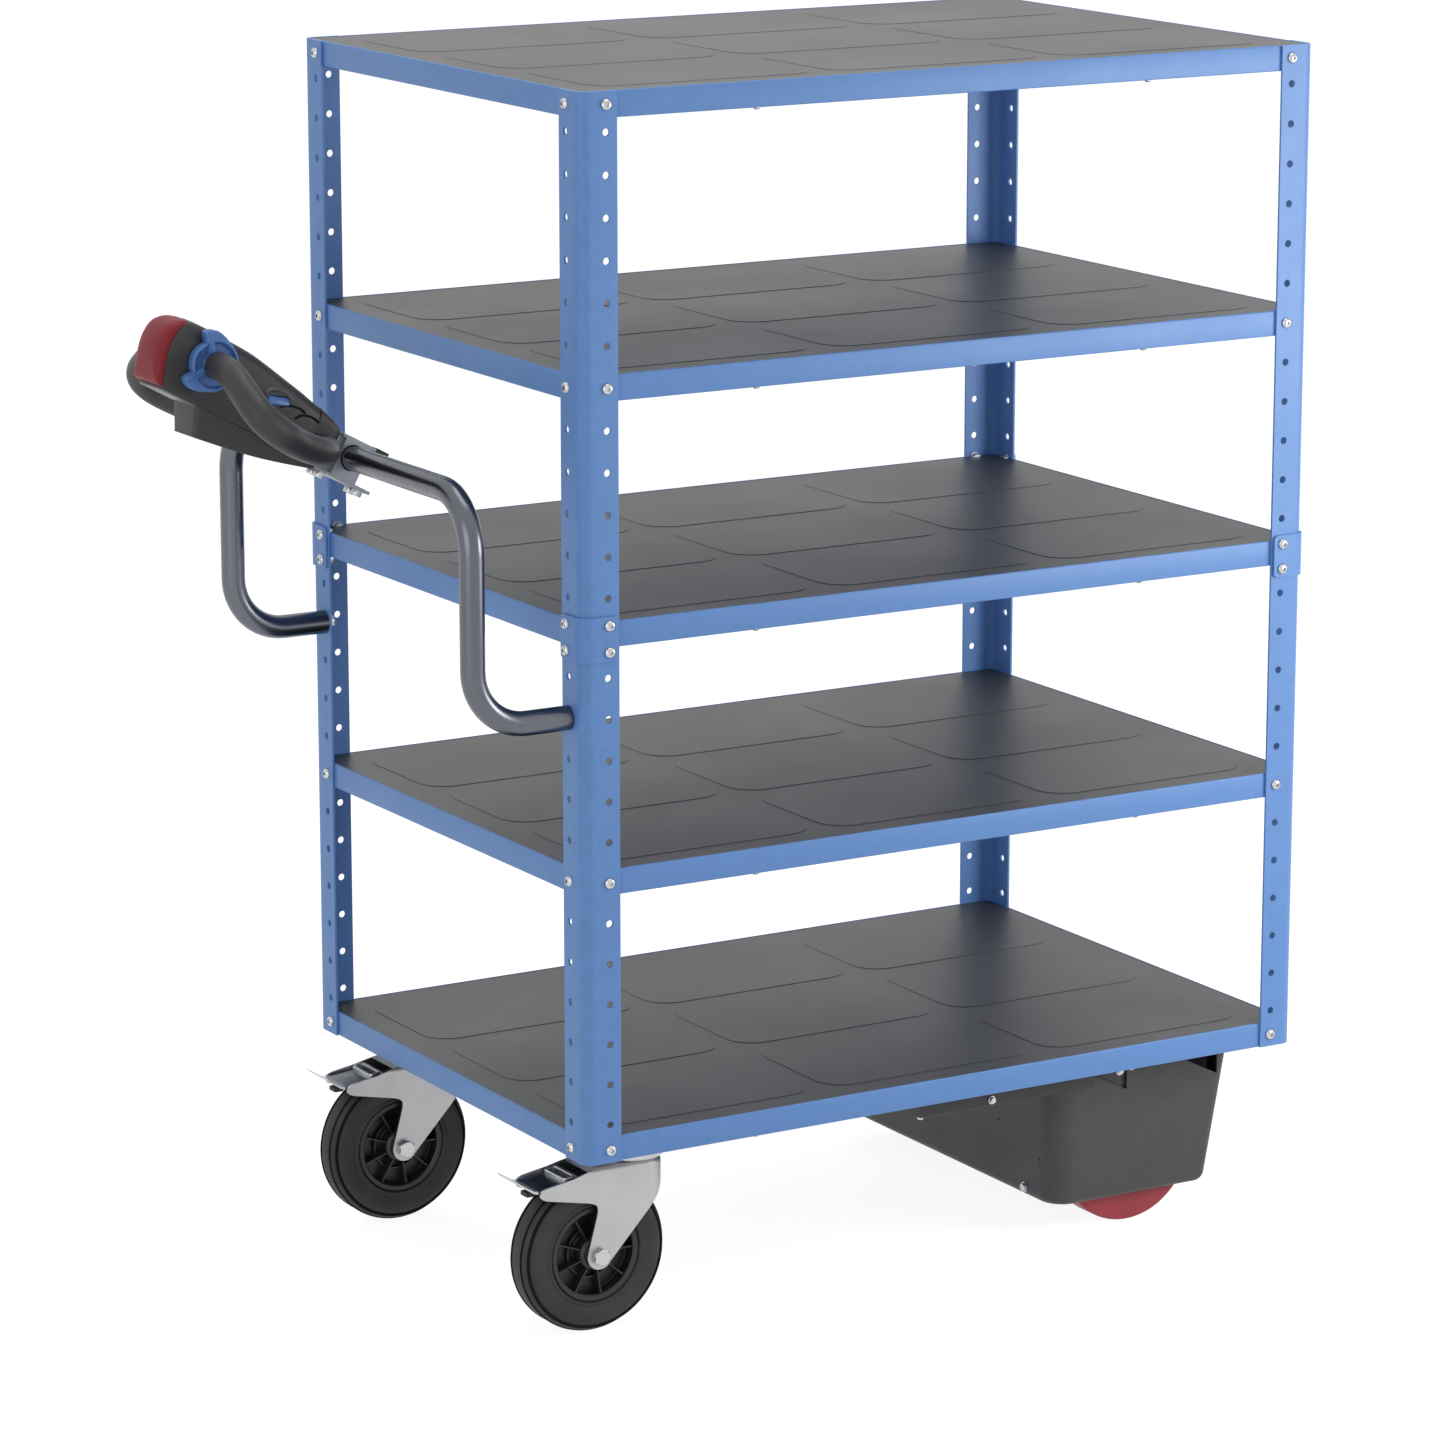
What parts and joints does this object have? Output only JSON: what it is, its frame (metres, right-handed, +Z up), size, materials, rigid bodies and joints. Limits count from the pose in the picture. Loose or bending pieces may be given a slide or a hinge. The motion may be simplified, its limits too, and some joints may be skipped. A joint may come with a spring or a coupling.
{
  "type": "powered shelf trolley",
  "caption": "Tall open shelf trolley with perforated corner posts, steel shelves, a handle bar with a drive control head, braked swivel castors and a driven wheel unit",
  "frame": {"origin": "on the floor, below the middle of the bounding box", "axes": "+X from the handle end to the drive end, +Y from the near side to the far side, +Z up"},
  "size_m": [1.4468, 0.7166, 1.532],
  "materials": {
    "blue_paint": "semi-gloss powder coat",
    "deck_grey": "matt, embossed",
    "tube_steel": "polished, slightly blue",
    "head_black": "fine matt grain",
    "grip_black": "soft matt",
    "button_red": "satin",
    "control_blue": "satin",
    "zinc": "bright zinc plate",
    "rubber": "matt",
    "rim_black": "satin",
    "casing_grey": "fine matt grain",
    "dark_steel": "satin black",
    "tread_red": "satin polyurethane",
    "motor_grey": "cast, matt",
    "battery_grey": "matt"
  },
  "bodies": {
    "root": {"post_handle_near_lower": "blue_paint", "post_handle_near_upper": "blue_paint", "splice_handle_near": "blue_paint", "post_handle_far_lower": "blue_paint", "post_handle_far_upper": "blue_paint", "splice_handle_far": "blue_paint", "post_drive_near_lower": "blue_paint", "post_drive_near_upper": "blue_paint", "splice_drive_near": "blue_paint", "post_drive_far_lower": "blue_paint", "post_drive_far_upper": "blue_paint", "splice_drive_far": "blue_paint", "top_shelf_tray": "blue_paint", "top_shelf_deck": "deck_grey", "second_shelf_tray": "blue_paint", "second_shelf_deck": "deck_grey", "middle_shelf_tray": "blue_paint", "middle_shelf_deck": "deck_grey", "fourth_shelf_tray": "blue_paint", "fourth_shelf_deck": "deck_grey", "bottom_shelf_tray": "blue_paint", "bottom_shelf_deck": "deck_grey", "handle_tube": "tube_steel", "head_body": "head_black", "head_base": "head_black", "guard_loop": "grip_black", "clamp_upper": "zinc", "clamp_lower": "zinc", "castor_near_plate": "zinc", "castor_far_plate": "zinc", "castor_rail": "dark_steel", "drive_rail_front": "dark_steel", "drive_rail_rear": "dark_steel", "drive_arm_near": "dark_steel", "drive_arm_far": "dark_steel", "drive_plate": "dark_steel", "drive_casing": "casing_grey", "battery": "battery_grey", "drive_near_motor": "motor_grey", "drive_far_motor": "motor_grey"},
    "near_castor": {"castor_near_fork": "zinc", "castor_near_axle": "zinc"},
    "near_castor_wheel": {"castor_near_rim": "rim_black", "castor_near_tyre": "rubber"},
    "near_brake": {"castor_near_brake_pedal": "zinc"},
    "far_castor": {"castor_far_fork": "zinc", "castor_far_axle": "zinc"},
    "far_castor_wheel": {"castor_far_rim": "rim_black", "castor_far_tyre": "rubber"},
    "far_brake": {"castor_far_brake_pedal": "zinc"},
    "near_drive_wheel": {"drive_near_hub": "motor_grey", "drive_near_tyre": "tread_red"},
    "far_drive_wheel": {"drive_far_hub": "motor_grey", "drive_far_tyre": "tread_red"},
    "throttle": {"throttle_knob_near": "control_blue", "throttle_knob_far": "control_blue"},
    "belly_switch": {"belly_button": "button_red"},
    "near_horn": {"horn_button_near": "control_blue"},
    "far_horn": {"horn_button_far": "control_blue"}
  },
  "joints": [
    {"name": "near_castor_swivel", "type": "hinge", "parent": "root", "child": "near_castor", "pos_m": [-0.21294, -0.257, 0.214], "axis": [0, 0, 1], "continuous": true},
    {"name": "near_castor_roll", "type": "hinge", "parent": "near_castor", "child": "near_castor_wheel", "pos_m": [-0.27394, -0.257, 0.1], "axis": [0, 1, 0], "continuous": true},
    {"name": "near_brake_press", "type": "hinge", "parent": "near_castor", "child": "near_brake", "pos_m": [-0.29594, -0.257, 0.202], "axis": [0, -1, 0], "range_deg": [0, 12]},
    {"name": "far_castor_swivel", "type": "hinge", "parent": "root", "child": "far_castor", "pos_m": [-0.21294, 0.257, 0.214], "axis": [0, 0, 1], "continuous": true},
    {"name": "far_castor_roll", "type": "hinge", "parent": "far_castor", "child": "far_castor_wheel", "pos_m": [-0.27394, 0.257, 0.1], "axis": [0, 1, 0], "continuous": true},
    {"name": "far_brake_press", "type": "hinge", "parent": "far_castor", "child": "far_brake", "pos_m": [-0.29594, 0.257, 0.202], "axis": [0, -1, 0], "range_deg": [0, 12]},
    {"name": "near_drive_roll", "type": "hinge", "parent": "root", "child": "near_drive_wheel", "pos_m": [0.54006, -0.229, 0.1], "axis": [0, 1, 0], "continuous": true},
    {"name": "far_drive_roll", "type": "hinge", "parent": "root", "child": "far_drive_wheel", "pos_m": [0.54006, 0.229, 0.1], "axis": [0, 1, 0], "continuous": true},
    {"name": "throttle_turn", "type": "hinge", "parent": "root", "child": "throttle", "pos_m": [-0.65167, 0, 1.19832], "axis": [0, 1, 0], "range_deg": [-30, 30], "stiffness_Nm_per_rad": 0.6},
    {"name": "belly_button_press", "type": "slide", "parent": "root", "child": "belly_switch", "axis": [0.8763, 0, -0.4818], "range_m": [0, 0.005], "stiffness_N_per_m": 3000, "springref_m": -0.002},
    {"name": "near_horn_press", "type": "slide", "parent": "root", "child": "near_horn", "axis": [-0.1805, 0.9272, -0.3283], "range_m": [0, 0.003], "stiffness_N_per_m": 400, "springref_m": -0.001},
    {"name": "far_horn_press", "type": "slide", "parent": "root", "child": "far_horn", "axis": [-0.1805, -0.9272, -0.3283], "range_m": [0, 0.003], "stiffness_N_per_m": 400, "springref_m": -0.001}
  ]
}
